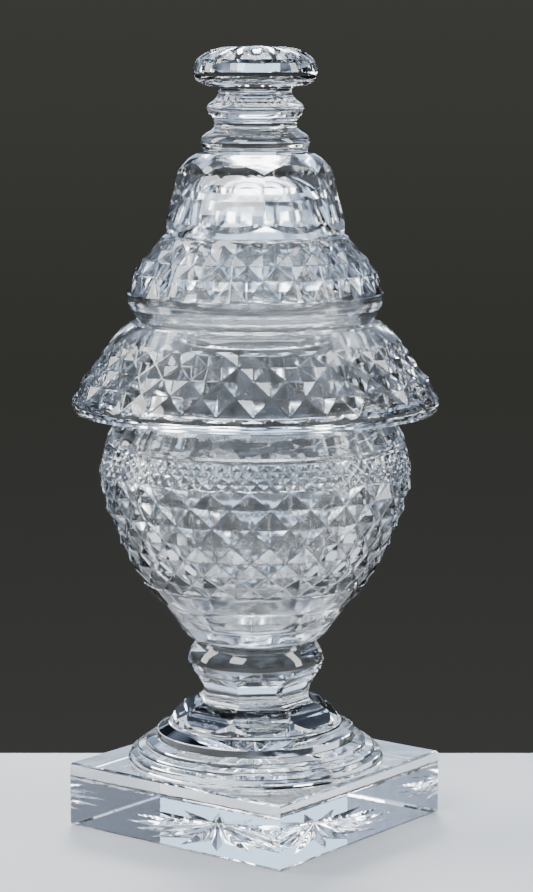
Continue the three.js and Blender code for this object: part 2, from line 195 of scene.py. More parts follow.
@dataclass(frozen=True)
class StudioFinish:
    """A matt studio surface with a faint mottle."""

    name: str
    dark: tuple[float, float, float, float]
    light: tuple[float, float, float, float]
    scale: float = 9.0
    roughness: float = 0.6

    def material(self) -> bpy.types.Material:
        """Makes the material.

        Returns:
            A matt material whose colour drifts between the dark and the light tone.
        """
        made = bpy.data.materials.new(self.name)
        nodes = NodeTree(made)
        place = nodes.add("ShaderNodeTexCoord")
        mottle = nodes.add("ShaderNodeTexNoise", Scale=self.scale, Detail=5.0)
        ramp = nodes.add("ShaderNodeValToRGB")
        ramp.color_ramp.elements[0].color = self.dark
        ramp.color_ramp.elements[1].color = self.light
        surface = nodes.add("ShaderNodeBsdfPrincipled", Roughness=self.roughness)
        output = nodes.add("ShaderNodeOutputMaterial")
        nodes.link(place.outputs["Object"], mottle.inputs["Vector"])
        nodes.link(mottle.outputs["Fac"], ramp.inputs["Fac"])
        nodes.link(ramp.outputs["Color"], surface.inputs["Base Color"])
        nodes.link(surface.outputs["BSDF"], output.inputs["Surface"])
        return made


# ---------------------------------------------------------------- outlines and patterns


@dataclass(frozen=True)
class Outline:
    """A smooth outline through (radius, height) places, in millimetres, lowest first."""

    places: tuple[tuple[float, float], ...]

    def slope(self, index: int) -> float:
        """Slope of the outline at one of its places, 0 where it turns back.

        Args:
            index: the place's number.

        Returns:
            Change of radius per millimetre of height.
        """
        sides = []
        for first in (index - 1, index):
            if 0 <= first < len(self.places) - 1:
                (r0, z0), (r1, z1) = self.places[first : first + 2]
                sides.append((r1 - r0) / (z1 - z0))
        if len(sides) == 1:
            return sides[0]
        if sides[0] * sides[1] <= 0:
            return 0.0
        return 2 * sides[0] * sides[1] / (sides[0] + sides[1])

    def radius(self, height: float) -> float:
        """Radius at a height.

        Args:
            height: height in millimetres; beyond the ends, the end's radius holds.

        Returns:
            The radius in millimetres.
        """
        places = self.places
        if height <= places[0][1]:
            return places[0][0]
        for index in range(len(places) - 1):
            (r0, z0), (r1, z1) = places[index : index + 2]
            if height <= z1:
                span = z1 - z0
                t = (height - z0) / span
                m0, m1 = self.slope(index) * span, self.slope(index + 1) * span
                return (
                    (2 * t**3 - 3 * t**2 + 1) * r0
                    + (t**3 - 2 * t**2 + t) * m0
                    + (3 * t**2 - 2 * t**3) * r1
                    + (t**3 - t**2) * m1
                )
        return places[-1][0]


@dataclass(frozen=True)
class FlatCuts:
    """Flat panels ground round an outline, with arched ends.

    A ridge between two panels stands at `turn`. The ends are the heights on a panel's middle line,
    and the runs say how much shorter the panel is at its ridges.
    """

    panels: int
    turn: float
    bottom: float
    bottom_run: float
    top: float
    top_run: float

    def share(self, angle: float) -> float:
        """How far an angle lies from a panel's middle: 0 on it, 1 at a ridge.

        Args:
            angle: azimuth in degrees.

        Returns:
            The share of the panel's bulge that is left at that angle.
        """
        half = math.pi / self.panels
        across = math.radians(angle - self.turn) % (2 * half) - half
        return (1 - math.cos(across)) / (1 - math.cos(half))

    def low(self, angle: float) -> float:
        """Height where the cut begins at an angle."""
        return self.bottom + self.bottom_run * self.share(angle)

    def high(self, angle: float) -> float:
        """Height where the cut ends at an angle."""
        return self.top - self.top_run * self.share(angle)

    def radius(self, outline: Outline, angle: float, height: float) -> float:
        """Radius of the cut surface.

        Args:
            outline: the surface before it was cut.
            angle: azimuth in degrees.
            height: height in millimetres.

        Returns:
            The radius in millimetres.
        """
        half = math.pi / self.panels
        ramps = [1.0]
        if self.bottom_run:
            ramps.append((height - self.bottom) / self.bottom_run)
        if self.top_run:
            ramps.append((self.top - height) / self.top_run)
        depth = max(0.0, min(ramps))
        across = math.radians(angle - self.turn) % (2 * half) - half
        full = outline.radius(height)
        return min(full, full * (1 - (1 - math.cos(half)) * depth) / math.cos(across))


# ---------------------------------------------------------------- pieces of glass


Place = Callable[[float], tuple[float, float]]  # (radius, height) in millimetres at an azimuth in degrees


@dataclass
class Ring:
    """One closed ring of points round the axis, and the azimuth of the first."""

    points: list[bmesh.types.BMVert]
    edges: list[bmesh.types.BMEdge]
    turn: float


class GlassSection:
    """A closed section of glass, built up from rings in order along its outline."""

    def __init__(self, name: str, polish: float = 0.26) -> None:
        """Starts an empty section.

        Args:
            name: the piece's name.
            polish: how far polishing has worn the arrises of its diamonds, in millimetres.
        """
        self.name = name
        self.polish = polish
        self.mesh = bmesh.new()
        self.first: Ring | None = None
        self.last: Ring | None = None
        self.cut: set[bmesh.types.BMVert] = set()

    def loose(self, count: int, turn: float) -> Ring:
        """Makes a ring that isn't joined to anything yet.

        Args:
            count: number of points.
            turn: azimuth of the first point, in degrees.

        Returns:
            The ring, in order round the axis.
        """
        made = bmesh.ops.create_circle(self.mesh, segments=count, radius=1.0)
        points = made["verts"]
        edges = list(dict.fromkeys(edge for point in points for edge in point.link_edges))
        return Ring(points, edges, turn)

    def drawn(self, ring: Ring, turn: float) -> Ring:
        """Draws a new ring out of one with as many points.

        Args:
            ring: the ring to extrude.
            turn: wanted azimuth of the first point; the nearest whole step to the old one is taken.

        Returns:
            The new ring, whose points match the old ones one by one.
        """
        made = bmesh.ops.extrude_edge_only(self.mesh, edges=ring.edges)["geom"]
        fresh = {item for item in made if isinstance(item, bmesh.types.BMVert)}
        edges = [
            item
            for item in made
            if isinstance(item, bmesh.types.BMEdge) and item.verts[0] in fresh and item.verts[1] in fresh
        ]
        points = [
            next(edge.other_vert(old) for edge in old.link_edges if edge.other_vert(old) in fresh)
            for old in ring.points
        ]
        step = 360 / len(points)
        return Ring(points, edges, turn + step * round((ring.turn - turn) / step))

    def add(self, place: Place, count: int = AROUND, turn: float = FRONT, side: Side = Side.OUTSIDE) -> Ring:
        """Adds a ring after the last one, and the faces between them.

        Args:
            place: where the ring's points lie.
            count: number of points.
            turn: azimuth of the first point, in degrees.
            side: what the new faces are.

        Returns:
            The new ring.
        """
        before = self.last
        drawn = before is not None and len(before.points) == count
        ring = self.drawn(before, turn) if drawn else self.loose(count, turn)
        for index, point in enumerate(ring.points):
            angle = ring.turn + 360 * index / count
            radius, height = place(angle)
            spot = Matrix.Rotation(math.radians(angle), 3, "Z") @ Vector((radius, 0, 0))
            point.co = (spot + Vector((0, 0, height))) * MM
        if before is None:
            self.first = ring
        elif not drawn:
            bmesh.ops.bridge_loops(self.mesh, edges=before.edges + ring.edges)
        for face in {face for edge in ring.edges for face in edge.link_faces}:
            face.material_index = side.value
        self.last = ring
        return ring

    def ring(self, height: float, radius: float, **layout: float) -> Ring:
        """Adds a plain ring.

        Args:
            height: height in millimetres.
            radius: radius in millimetres.
            **layout: count, turn and side, as for `add`.

        Returns:
            The new ring.
        """
        return self.add(lambda _: (radius, height), **layout)

    def cap(self, ring: Ring, side: Side = Side.OUTSIDE) -> None:
        """Closes a ring with a flat face.

        Args:
            ring: the ring to close.
            side: what the face is.
        """
        made = bmesh.ops.contextual_create(self.mesh, geom=ring.edges)
        for face in made["faces"]:
            face.material_index = side.value

    def start(self, height: float, radius: float, side: Side = Side.OUTSIDE, **layout: float) -> None:
        """Begins the section with a flat closed end.

        Args:
            height: height in millimetres.
            radius: radius in millimetres.
            side: what the end's face is.
            **layout: count and turn of the ring.
        """
        self.cap(self.ring(height, radius, **layout), side)

    def turned(self, places: Iterable[tuple[float, float]], **layout: float) -> None:
        """Adds plain rings through (radius, height) places."""
        for radius, height in places:
            self.ring(height, radius, **layout)

    def follow(self, outline: Outline, low: float, high: float, steps: int, **layout: float) -> None:
        """Adds plain rings along an outline, up from just above `low` to `high`.

        Args:
            outline: the outline to follow.
            low: height of the ring before the first new one.
            high: height of the last new ring.
            steps: number of new rings.
            **layout: count and turn of the rings.
        """
        for step in range(1, steps + 1):
            height = low + (high - low) * step / steps
            self.ring(height, outline.radius(height), **layout)

    def flats(
        self, outline: Outline, cuts: FlatCuts, low: float, high: float, steps: int, **layout: float
    ) -> None:
        """Adds a zone of flat panels between two plain rings.

        Args:
            outline: the surface before it was cut.
            cuts: the panels.
            low: height of the plain ring below them, which is already there.
            high: height of the plain ring above them, which is added.
            steps: rows of faces along the panels.
            **layout: count of the rings.
        """

        def onto(near: float, border: Callable[[float], float]) -> Place:
            """Shape of the ring halfway between a plain ring and the panels' border.

            Args:
                near: height of the plain ring.
                border: height of the border by azimuth.

            Returns:
                The ring's place by azimuth.
            """

            def place(angle: float) -> tuple[float, float]:
                """Radius and height at an azimuth, on the surface before it was cut."""
                height = (near + border(angle)) / 2
                return outline.radius(height), height

            return place

        def panel(share: float) -> Place:
            """Shape of a ring on the panels.

            Args:
                share: how far up the panels it lies, from 0 to 1.

            Returns:
                The ring's place by azimuth.
            """

            def place(angle: float) -> tuple[float, float]:
                """Finds a point of the ring.

                Args:
                    angle: azimuth in degrees.

                Returns:
                    Its radius and height on the panels, in millimetres.
                """
                begin, end = cuts.low(angle), cuts.high(angle)
                height = begin + (end - begin) * share
                return cuts.radius(outline, angle, height), height

            return place

        layout = {"turn": cuts.turn, **layout}
        self.add(onto(low, cuts.low), **layout)
        for step in range(steps + 1):
            self.add(panel(step / steps), **layout)
        self.add(onto(high, cuts.high), **layout)
        self.ring(high, outline.radius(high), **layout)

    def diamonds(
        self, rows: Iterable[tuple[float, float, float]], columns: int, turn: float, odd: bool = False
    ) -> None:
        """Adds rows of diamonds cut in relief by two sets of slanting grooves.

        Args:
            rows: (tip radius, height, depth of the crossings) of each half-step, in millimetres.
            columns: number of diamonds round.
            turn: azimuth of a crossing in the first row.
            odd: whether the first row has a tip there instead.
        """
        crossings: list[bmesh.types.BMVert] = []
        for row, (radius, height, depth) in enumerate(rows):
            ring = self.ring(height, radius, count=2 * columns, turn=turn)
            shift = round((ring.turn - turn) * columns / 180)
            crossed = ring.points[(row + odd + shift) % 2 :: 2]
            share = (radius - depth) / radius
            bmesh.ops.scale(self.mesh, vec=Vector((share, share, 1)), verts=crossed)
            if crossings:
                bmesh.ops.connect_verts(self.mesh, verts=crossings + crossed)
            crossings = crossed
            self.cut.update(ring.points)

    def pyramids(
        self,
        places: Iterable[tuple[float, float]],
        columns: int,
        turn: float,
        ratio: float,
        odd: bool = False,
    ) -> None:
        """Adds rows of diamonds whose depth follows their width, half as deep in the end rows.

        Args:
            places: (tip radius, height) of each half-step, in millimetres.
            columns: number of diamonds round.
            turn: azimuth of a crossing in the first row.
            ratio: depth of a crossing as a share of a diamond's half width.
            odd: whether the first row has a tip at `turn` instead.
        """
        rows = [(radius, height, ratio * math.pi * radius / columns) for radius, height in places]
        for end in (0, -1):
            radius, height, depth = rows[end]
            rows[end] = (radius, height, depth * END_DEPTH)
        self.diamonds(rows, columns, turn, odd)

    def finish(self, finishes: dict[Side, bpy.types.Material]) -> bpy.types.Object:
        """Closes the mesh and makes the object.

        Args:
            finishes: the glass of each side.

        Returns:
            The finished object at the origin.
        """
        arrises = [
            edge
            for edge in self.mesh.edges
            if edge.verts[0] in self.cut
            and edge.verts[1] in self.cut
            and len(edge.link_faces) == 2
            and edge.calc_face_angle(0) > SHARP
        ]
        if arrises:
            bmesh.ops.bevel(
                self.mesh,
                geom=arrises,
                offset=self.polish * MM,
                offset_type="OFFSET",
                segments=1,
                profile=0.5,
                affect="EDGES",
                clamp_overlap=True,
                material=-1,
            )
        bmesh.ops.remove_doubles(self.mesh, verts=self.mesh.verts, dist=MERGE)
        bmesh.ops.recalc_face_normals(self.mesh, faces=self.mesh.faces)
        for face in self.mesh.faces:
            face.smooth = True
        for edge in self.mesh.edges:
            if len(edge.link_faces) == 2:
                joined = edge.link_faces[0].material_index != edge.link_faces[1].material_index
                edge.smooth = not joined and edge.calc_face_angle(0) < SHARP
        open_edges = sum(1 for edge in self.mesh.edges if len(edge.link_faces) != 2)
        if open_edges:
            LOG.warning("%s has %d open edges", self.name, open_edges)
        mesh = bpy.data.meshes.new(self.name)
        self.mesh.to_mesh(mesh)
        self.mesh.free()
        for side in Side:
            mesh.materials.append(finishes[side])
        made = bpy.data.objects.new(self.name, mesh)
        bpy.context.scene.collection.objects.link(made)
        return made


@dataclass
class CutPart:
    """What every section of the jar has in common: its frame node, its body and its finish."""

    node: str = ""
    body: Body = Body.JAR
    slot: Slot = Slot.PLAIN

    def shape(self, glass: GlassSection) -> None:
        """Builds the section's surface, ring by ring.

        Args:
            glass: the section that gets it.
        """
        raise NotImplementedError

    def build(self, finishes: dict[Slot, dict[Side, bpy.types.Material]]) -> bpy.types.Object:
        """Builds and dresses the section.

        Args:
            finishes: the glass of each slot, for each side.

        Returns:
            The finished piece, which stands for its frame node.
        """
        glass = GlassSection(f"{self.node}_glass")
        self.shape(glass)
        piece = glass.finish(finishes[self.slot])
        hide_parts(self.node)
        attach(piece, self.body.value)
        LOG.info("%s: %d faces", piece.name, len(piece.data.polygons))
        return piece


# ---------------------------------------------------------------- the foot end


@dataclass
class SquarePlinth(CutPart):
    """The square block that the jar stands on, with a star ground into its underside."""

    node: str = "square_plinth"
    side: float = 96.0
    height: float = 23.3
    bevel: float = 0.8
    foot_radius: float = 46.6
    rays: int = 16
    ray_reach: float = 40.0
    ray_notch: float = 11.7
    ray_fullness: float = 0.8
    star_depth: float = 3.0
    ray_turn: float = 0.0
    around: int = 320

    def square(self, glass: GlassSection, height: float, side: float) -> Ring:
        """Adds a square ring of points.

        Args:
            glass: the section that gets it.
            height: height in millimetres.
            side: side in millimetres.

        Returns:
            The ring.
        """

        def place(angle: float) -> tuple[float, float]:
            """Radius and height of the square's side at an azimuth."""
            azimuth = math.radians(angle)
            return side / 2 / max(abs(math.cos(azimuth)), abs(math.sin(azimuth))), height

        return glass.add(place, self.around, 0)

    def star(self, glass: GlassSection) -> None:
        """Grinds the star: V-shaped rays that are deepest where they cross.

        Args:
            glass: the section that gets it.
        """
        half = 180 / self.rays

        def border(angle: float) -> tuple[float, float]:
            """Radius and height of the star's border: furthest at a ray, nearest between two."""
            share = abs((angle - self.ray_turn + half) % (2 * half) - half) / half
            return self.ray_reach + (self.ray_notch - self.ray_reach) * share**self.ray_fullness, 0.0

        glass.cap(glass.add(border, self.around, self.ray_turn))
        middle = bmesh.ops.poke(glass.mesh, faces=glass.mesh.faces[:])["verts"]
        bmesh.ops.translate(glass.mesh, vec=Vector((0, 0, self.star_depth * MM)), verts=middle)

    def shape(self, glass: GlassSection) -> None:
        """Builds the star, the underside, the four polished sides and the top with the foot's seat.

        Args:
            glass: the section that gets it.
        """
        inner = self.side - 2 * self.bevel
        soft = CORNER * self.bevel
        self.star(glass)
        self.square(glass, 0, inner)
        for height, side in (
            (soft, self.side - 2 * soft),
            (self.bevel, self.side),
            (self.height - self.bevel, self.side),
            (self.height - soft, self.side - 2 * soft),
            (self.height, inner),
        ):
            self.square(glass, height, side)
        glass.cap(glass.ring(self.height, self.foot_radius, count=self.around, turn=0), side=Side.JOINT)


@dataclass
class SteppedFoot(CutPart):
    """The round foot, turned in steps."""

    node: str = "stepped_foot"
    base: float = 23.3
    top: float = 37.2
    stem_radius: float = 30.0
    steps: tuple[tuple[float, float, float], ...] = (
        (46.6, 0.0, 0.9),
        (45.6, 1.2, 3.1),
        (43.2, 3.7, 5.1),
        (39.9, 5.6, 7.3),
        (36.0, 8.3, 11.3),
    )
    first_rise: float = 0.3  # height that the steps' own heights are counted from
    fillet: float = 0.25  # how far the foot of a riser runs out over the tread below
    fillet_low: float = 0.15  # how far below the tread it starts
    fillet_high: float = 0.1  # and how far above it ends
    round: float = 0.55
    dome: tuple[tuple[float, float], ...] = ((31.7, 36.7), (31.2, 37.2))

    def shape(self, glass: GlassSection) -> None:
        """Builds the steps from the plinth up: each an upright riser, a rounded edge and a tread.

        Args:
            glass: the section that gets it.
        """
        above = self.base + self.first_rise
        glass.start(self.base, self.steps[0][0], side=Side.JOINT)
        for radius, low, high in self.steps:
            if low:
                begin = (radius + self.fillet, above + low - self.fillet_low)
                glass.turned([begin, (radius, above + low + self.fillet_high)])
            corner = self.round
            glass.turned(
                [
                    (radius, above + high - corner),
                    (radius - CORNER * corner, above + high - CORNER * corner),
                    (radius - corner, above + high),
                ]
            )
        glass.turned(self.dome)
        glass.cap(glass.ring(self.top, self.stem_radius), side=Side.JOINT)


@dataclass
class StemKnop(CutPart):
    """The eight-sided stem, from the petals on its disc to the collar under the bowl."""

    node: str = "stem_knop"
    slot: Slot = Slot.TURNED
    base: float = 37.2
    top: float = 67.5
    joint_radius: float = 30.0
    outline: Outline = Outline(
        (
            (30.3, 37.9),
            (30.2, 38.9),
            (29.2, 40.7),
            (27.5, 42.5),
            (24.2, 44.4),
            (21.4, 45.6),
            (19.9, 47.3),
            (20.3, 50.4),
            (21.5, 53.0),
            (23.0, 55.6),
            (24.3, 58.2),
            (24.6, 60.1),
            (24.2, 62.3),
            (23.1, 64.9),
            (21.9, 66.6),
            (21.6, 67.5),
        )
    )
    disc_edge: tuple[float, float] = (30.3, 37.9)
    cuts: FlatCuts = FlatCuts(8, FRONT - 17.5, 38.4, 3.6, 59.6, 3.0)
    cuts_end: float = 60.1
    cut_rows: int = 64
    collar_rows: int = 8

    def shape(self, glass: GlassSection) -> None:
        """Builds the disc's edge, the eight panels and the plain collar.

        Args:
            glass: the section that gets it.
        """
        layout = {"turn": self.cuts.turn}
        glass.start(self.base, self.joint_radius, side=Side.JOINT, **layout)
        glass.turned([self.disc_edge], **layout)
        glass.flats(self.outline, self.cuts, self.disc_edge[1], self.cuts_end, self.cut_rows)
        glass.follow(self.outline, self.cuts_end, self.top, self.collar_rows, **layout)
        glass.cap(glass.last, side=Side.JOINT)


# ---------------------------------------------------------------- the bowl and its rim


@dataclass
class Bowl(CutPart):
    """The bowl: flutes below, large diamonds, a band of fine ones, and flats under the rim."""

    node: str = "bowl"
    slot: Slot = Slot.CUT
    base: float = 67.5
    top: float = 150.3
    neck_radius: float = 49.5
    inner_top: float = 43.0
    columns: int = 24
    turn: float = FRONT - 2.0
    outline: Outline = Outline(
        (
            (21.6, 67.5),
            (24.0, 69.0),
            (28.7, 74.2),
            (32.2, 78.6),
            (35.7, 82.7),
            (38.5, 86.0),
            (41.5, 90.8),
            (44.7, 95.2),
            (48.1, 101.5),
            (50.7, 108.1),
            (53.9, 115.8),
            (55.9, 122.0),
            (56.7, 128.0),
            (55.8, 133.0),
            (54.9, 136.6),
            (53.9, 140.3),
            (53.1, 142.8),
            (51.8, 145.0),
            (50.2, 147.6),
            (49.5, 150.3),
        )
    )
    flutes: FlatCuts = FlatCuts(12, FRONT - 1.5, 70.6, 3.6, 85.8, 3.2)
    flute_zone: tuple[float, float] = (70.0, 86.4)
    flute_rows: int = 14
    plain_top: float = 89.4
    plain_rows: int = 3
    large_rows: tuple[float, ...] = (89.8, 93.9, 98.2, 103.6, 109.6, 116.4, 123.6, 130.0)
    large_ratio: float = 0.3
    fine_columns: int = 72
    fine_rows: tuple[float, ...] = (130.5, 132.55, 134.6, 136.65, 138.7)
    fine_depth: float = 0.9
    groove: tuple[float, float, float] = (139.4, 140.3, 141.3)
    groove_depth: float = 0.9
    flat_foot: float = 143.3
    flat_arch: float = 2.0
    flat_hollow: float = 0.5
    flat_steps: int = 6
    flat_stop: float = 0.6  # below the rim's joint
    hollow: tuple[tuple[float, float], ...] = (
        (43.1, 147.5),
        (44.3, 143.5),
        (46.6, 138.5),
        (49.2, 133.0),
        (50.2, 127.5),
        (49.9, 121.5),
        (48.3, 113.5),
        (45.3, 105.5),
        (41.0, 97.5),
        (35.4, 90.4),
        (28.8, 84.8),
        (21.6, 81.0),
        (14.2, 78.9),
        (7.2, 78.1),
        (1.5, 78.0),
    )

    def flat_ring(self, glass: GlassSection, lift: Callable[[float], float]) -> Ring:
        """Adds a ring on the flats under the rim.

        Args:
            glass: the section that gets it.
            lift: height for a share, 0 on a flat's middle line and 1 at its edge.

        Returns:
            The ring.
        """
        flats = FlatCuts(self.columns, self.turn, 0, 0, 999, 0)

        def place(angle: float) -> tuple[float, float]:
            """Finds a point of the ring.

            Args:
                angle: azimuth in degrees.

            Returns:
                Its radius and height on the hollowed flats, in millimetres.
            """
            height = lift(flats.share(angle))
            hollow = self.flat_hollow * (1 - flats.share(angle))
            return flats.radius(self.outline, angle, height) - hollow, height

        return glass.add(place, turn=self.turn)

    def shape(self, glass: GlassSection) -> None:
        """Builds the outside from the stem to the rim, then the hollow.

        Args:
            glass: the section that gets it.
        """
        radius = self.outline.radius
        layout = {"turn": self.flutes.turn}
        glass.start(self.base, radius(self.base), side=Side.JOINT, **layout)
        low, high = self.flute_zone
        glass.follow(self.outline, self.base, low, self.plain_rows, **layout)
        glass.flats(self.outline, self.flutes, low, high, self.flute_rows)
        glass.follow(self.outline, high, self.plain_top, self.plain_rows, turn=self.turn)
        large = [(radius(height), height) for height in self.large_rows]
        glass.pyramids(large, self.columns, self.turn, self.large_ratio, odd=True)
        fine = [(radius(height), height, self.fine_depth) for height in self.fine_rows]
        glass.diamonds(fine, self.fine_columns, self.turn)

        low, middle, high = self.groove
        layout = {"turn": self.turn}
        glass.turned([(radius(low), low), (radius(middle) - self.groove_depth, middle)], **layout)
        glass.turned([(radius(high), high)], **layout)
        self.flat_ring(glass, lambda share: self.flat_foot - self.flat_arch * share)
        for step in range(1, self.flat_steps + 1):
            lift = step / self.flat_steps

            def rise(share: float, lift: float = lift) -> float:
                """Height of this ring for a share of a flat's half width."""
                foot = self.flat_foot - self.flat_arch * share
                return foot + (self.top - self.flat_stop - foot) * lift

            self.flat_ring(glass, rise)
        glass.turned([(self.neck_radius, self.top)], **layout)
        glass.ring(self.top, self.inner_top, side=Side.JOINT, **layout)
        glass.turned(self.hollow, side=Side.INSIDE, **layout)
        glass.cap(glass.last, side=Side.INSIDE)


@dataclass
class TurnoverRim(CutPart):
    """The rim, folded out and down over the bowl's neck and cut all over with diamonds."""

    node: str = "turnover_rim"
    slot: Slot = Slot.CUT
    base: float = 150.3
    neck_inner: float = 43.0
    neck_outer: float = 49.5
    columns: int = 32
    turn: float = FRONT - 0.7
    ratio: float = 0.3
    rows: tuple[tuple[float, float], ...] = (
        (65.6, 156.5),
        (62.4, 162.8),
        (58.1, 168.2),
        (55.0, 172.6),
        (52.3, 176.2),
    )
    under: tuple[tuple[float, float], ...] = (
        (51.5, 151.6),
        (54.5, 153.0),
        (58.0, 153.3),
        (61.2, 152.2),
        (63.0, 151.3),
    )
    lip: tuple[tuple[float, float], ...] = (
        (63.9, 151.1),
        (64.8, 151.5),
        (65.6, 152.7),
        (65.84, 153.8),
        (65.8, 155.2),
    )
    shoulder: tuple[tuple[float, float], ...] = (
        (51.0, 177.6),
        (49.9, 178.9),
        (48.0, 180.8),
        (46.2, 182.2),
        (45.2, 182.8),
        (44.2, 183.0),
        (39.6, 183.0),
        (39.0, 182.5),
    )
    inside: tuple[tuple[float, float], ...] = (
        (39.0, 172.0),
        (39.2, 168.0),
        (40.2, 163.0),
        (41.6, 158.0),
        (42.7, 153.5),
    )
    around: int = 128

    def shape(self, glass: GlassSection) -> None:
        """Builds the melted joint, the underside, the lip, the diamonds, the seat and the mouth.

        Args:
            glass: the section that gets it.
        """
        layout = {"turn": self.turn, "count": self.around}
        glass.ring(self.base, self.neck_inner, **layout)
        glass.ring(self.base, self.neck_outer, side=Side.JOINT, **layout)
        glass.turned(self.under + self.lip, **layout)
        glass.pyramids(self.rows, self.columns, self.turn, self.ratio)
        glass.turned(self.shoulder, **layout)
        glass.turned(self.inside, side=Side.INSIDE, **layout)
        bmesh.ops.bridge_loops(glass.mesh, edges=glass.last.edges + glass.first.edges)


# ---------------------------------------------------------------- the cover


@dataclass
class CoverDome(CutPart):
    """The cover: a flange that drops into the mouth, a cut bulge and an eight-sided dome."""

    node: str = "cover_dome"
    body: Body = Body.COVER
    slot: Slot = Slot.CUT
    top: float = 243.1
    neck_radius: float = 18.3
    flange: tuple[tuple[float, float], ...] = (
        (34.4, 173.9),
        (34.9, 173.3),
        (37.5, 173.3),
        (38.0, 173.9),
        (38.0, 182.9),
        (38.4, 183.3),
        (41.3, 183.3),
        (41.7, 183.45),
    )
    columns: int = 24
    turn: float = FRONT - 4.0
    ratio: float = 0.3
    band: Outline = Outline(
        (
            (41.7, 183.3),
            (42.4, 184.4),
            (43.5, 186.1),
            (44.4, 187.9),
            (45.3, 189.7),
            (45.75, 191.9),
            (45.8, 193.4),
        )
    )
    band_rows: int = 12
    rows: tuple[tuple[float, float], ...] = (
        (45.7, 194.0),
        (43.9, 200.9),
        (40.2, 205.9),
        (36.6, 209.7),
        (34.0, 213.0),
    )
    collar: tuple[tuple[float, float], ...] = ((33.4, 213.7), (32.6, 214.2), (31.8, 214.7))
    dome: Outline = Outline(
        (
            (31.8, 214.5),
            (31.8, 219.2),
            (31.2, 222.9),
            (30.1, 226.5),
            (29.2, 230.0),
            (28.4, 233.6),
            (27.4, 237.1),
            (26.1, 238.9),
            (24.6, 240.6),
            (22.9, 242.0),
            (20.8, 243.1),
        )
    )
    cuts: FlatCuts = FlatCuts(8, FRONT + 6.5, 216.3, 2.9, 240.0, 3.4)
    cuts_end: float = 240.9
    cut_rows: int = 20
    top_rows: int = 3
    hollow: tuple[tuple[float, float], ...] = (
        (1.5, 234.0),
        (5.1, 233.7),
        (8.6, 233.0),
        (12.1, 232.0),
        (15.2, 230.6),
        (17.9, 228.8),
        (20.0, 226.4),
        (21.1, 223.0),
        (23.0, 219.8),
        (25.4, 215.0),
        (27.3, 209.9),
        (30.6, 205.5),
        (33.8, 201.4),
        (37.0, 197.0),
        (38.8, 193.1),
        (38.6, 190.0),
        (36.6, 186.0),
        (34.8, 183.5),
    )

    def shape(self, glass: GlassSection) -> None:
        """Builds the hollow from the ceiling down, the flange, and the outside up to the neck.

        Args:
            glass: the section that gets it.
        """
        layout = {"turn": self.cuts.turn}
        radius, height = self.hollow[0]
        glass.start(height, radius, side=Side.INSIDE, **layout)
        glass.turned(self.hollow[1:], side=Side.INSIDE, **layout)
        glass.turned(self.flange, **layout)
        low, high = self.flange[-1][1], self.band.places[-1][1]
        glass.follow(self.band, low, high, self.band_rows, turn=self.turn)
        glass.pyramids(self.rows, self.columns, self.turn, self.ratio)
        glass.turned(self.collar, **layout)
        glass.flats(self.dome, self.cuts, self.collar[-1][1], self.cuts_end, self.cut_rows)
        glass.follow(self.dome, self.cuts_end, self.top, self.top_rows, **layout)
        glass.cap(glass.ring(self.top, self.neck_radius, **layout), side=Side.JOINT)


@dataclass
class FinialNeck(CutPart):
    """The turned neck between the dome and the knob, with two rounded collars."""

    node: str = "finial_neck"
    body: Body = Body.COVER
    slot: Slot = Slot.TURNED
    base: float = 243.1
    top: float = 266.8
    outline: Outline = Outline(
        (
            (18.3, 243.1),
            (18.5, 244.2),
            (19.15, 245.6),
            (19.5, 247.3),
            (19.0, 248.8),
            (17.6, 250.2),
            (15.9, 251.2),
            (14.8, 252.3),
            (14.7, 253.6),
            (14.9, 255.1),
            (15.4, 255.8),
            (16.8, 257.2),
            (17.35, 259.0),
            (16.3, 260.7),
            (14.7, 261.8),
            (13.4, 263.4),
            (13.0, 264.7),
            (13.2, 266.1),
            (13.2, 266.8),
        )
    )
    rows: int = 96

    def shape(self, glass: GlassSection) -> None:
        """Builds the neck between its two joints.

        Args:
            glass: the section that gets it.
        """
        glass.start(self.base, self.outline.radius(self.base), side=Side.JOINT)
        glass.follow(self.outline, self.base, self.top, self.rows)
        glass.cap(glass.last, side=Side.JOINT)


